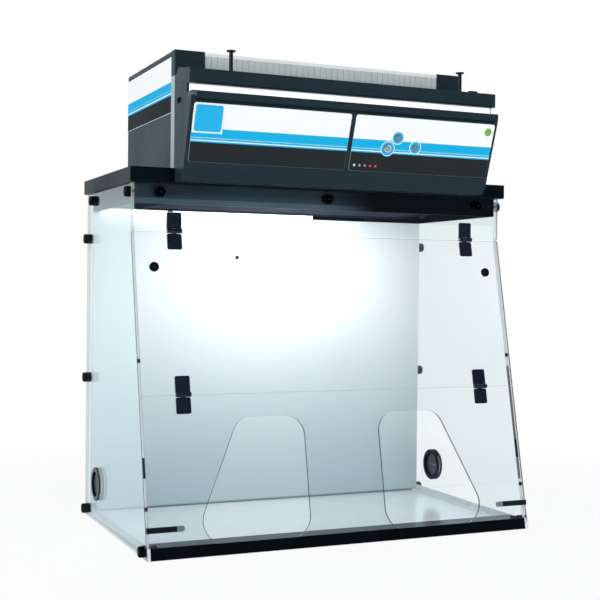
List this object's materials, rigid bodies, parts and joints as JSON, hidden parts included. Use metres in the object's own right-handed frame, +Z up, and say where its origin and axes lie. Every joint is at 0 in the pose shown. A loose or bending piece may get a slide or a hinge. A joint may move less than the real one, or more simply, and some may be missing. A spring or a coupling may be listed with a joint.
{
  "type": "ductless fume hood",
  "caption": "Bench-top filtering fume hood: clear chamber with folding front and arm ports, and a filter and fan module with a control front on top.",
  "frame": {"origin": "centre of the chamber's footprint, on the bench", "axes": "+Z up, front of the hood towards -Y, +X to the right seen from the front"},
  "size_m": [1.012, 0.5945, 1.154],
  "materials": {
    "clear_acrylic": "clear gloss, pale green tint",
    "white_gloss": "white gloss",
    "rear_white": "white gloss",
    "pale_rail": "pale grey gloss",
    "black_gloss": "black gloss",
    "black_plastic": "black satin",
    "hinge_black": "dark blue-black satin",
    "grey_plastic": "grey satin",
    "slate_paint": "dark slate satin paint",
    "case_paint": "slate satin paint",
    "post_grey": "light grey satin paint",
    "label_print": "printed gloss film",
    "badge_blue": "blue gloss",
    "button_grey": "grey gloss",
    "lens_green": "green gloss",
    "lens_small": "clear gloss",
    "strip_white": "light grey gloss",
    "filter_media": "light grey pleated media",
    "carbon": "black granule bed in a card frame",
    "mat_blue": "dark blue fibre mat",
    "steel_clip": "bright steel",
    "pin_steel": "steel",
    "galvanised": "grey sheet metal",
    "rubber_black": "matt black rubber",
    "lamp_white": "opal white",
    "board_green": "green board"
  },
  "bodies": {
    "hood": {"worktop": "white_gloss", "side_rails": "pale_rail", "front_sill": "black_gloss", "side_panel_left": "clear_acrylic", "side_panel_right": "clear_acrylic", "rear_panel": "rear_white", "rear_port_plug": "black_plastic", "front_top_strip": "clear_acrylic", "upper_hinge_fixed_leaves": "hinge_black", "upper_hinge_pins": "pin_steel", "cable_grommets": "black_plastic", "grommet_membranes": "rubber_black", "edge_buffers": "rubber_black", "edge_magnets": "black_plastic", "collar_screws": "black_plastic", "edge_screws": "black_plastic", "rear_nut_posts": "black_plastic", "top_plate": "slate_paint", "collar_frame": "slate_paint", "prefilter_frame": "mat_blue", "prefilter_mat": "mat_blue", "prefilter_clips": "steel_clip", "lamp_housing": "galvanised", "lamp_diffuser": "lamp_white", "filter_case": "case_paint", "side_skins": "label_print", "top_frame": "slate_paint", "corner_posts": "post_grey", "carbon_filter": "carbon", "fan_deck": "galvanised", "fan_motor": "black_plastic", "exhaust_filter": "filter_media", "power_inlet": "black_plastic", "fascia_housing": "slate_paint", "end_cap_left": "slate_paint", "end_cap_right": "slate_paint", "lower_bar": "slate_paint", "status_strip": "strip_white", "top_bar": "slate_paint", "label_plate_left": "label_print", "label_plate_right": "label_print", "badge_plate": "badge_blue", "green_lens": "lens_green", "status_lenses": "lens_small", "circuit_board": "board_green"},
    "middle_front": {"middle_panel": "clear_acrylic", "upper_hinge_swing_leaves": "hinge_black", "fold_hinge_upper_leaves": "hinge_black", "fold_hinge_pins": "pin_steel", "magnet_knobs": "black_gloss"},
    "lower_front": {"lower_panel": "clear_acrylic", "fold_hinge_lower_leaves": "hinge_black", "catch_bars": "black_plastic", "catch_tips": "grey_plastic"},
    "power_button": {"power_button": "button_grey"},
    "light_button": {"light_button": "button_grey"},
    "mode_button": {"mode_button": "button_grey"},
    "fan": {"fan_rotor": "black_plastic"},
    "left_pin": {"pull_pin_left": "black_plastic"},
    "right_pin": {"pull_pin_right": "black_plastic"}
  },
  "joints": [
    {"name": "middle_front_swing", "type": "hinge", "parent": "hood", "child": "middle_front", "pos_m": [0, -0.1433, 0.72861], "axis": [-1, 0, 0], "range_deg": [0, 110]},
    {"name": "lower_front_fold", "type": "hinge", "parent": "middle_front", "child": "lower_front", "pos_m": [0, -0.22306, 0.35521], "axis": [-1, 0, 0], "range_deg": [0, 180]},
    {"name": "fan_spin", "type": "hinge", "parent": "hood", "child": "fan", "pos_m": [0, 0.09, 1.03], "axis": [0, 0, 1], "continuous": true},
    {"name": "left_pin_lift", "type": "slide", "parent": "hood", "child": "left_pin", "axis": [0, 0, 1], "range_m": [0, 0.008]},
    {"name": "right_pin_lift", "type": "slide", "parent": "hood", "child": "right_pin", "axis": [0, 0, 1], "range_m": [0, 0.008]},
    {"name": "power_press", "type": "slide", "parent": "hood", "child": "power_button", "axis": [0, 0.9455, 0.3256], "range_m": [0, 0.002], "stiffness_N_per_m": 200, "springref_m": -0.001},
    {"name": "light_press", "type": "slide", "parent": "hood", "child": "light_button", "axis": [0, 0.9455, 0.3256], "range_m": [0, 0.002], "stiffness_N_per_m": 200, "springref_m": -0.001},
    {"name": "mode_press", "type": "slide", "parent": "hood", "child": "mode_button", "axis": [0, 0.9455, 0.3256], "range_m": [0, 0.002], "stiffness_N_per_m": 200, "springref_m": -0.001}
  ]
}
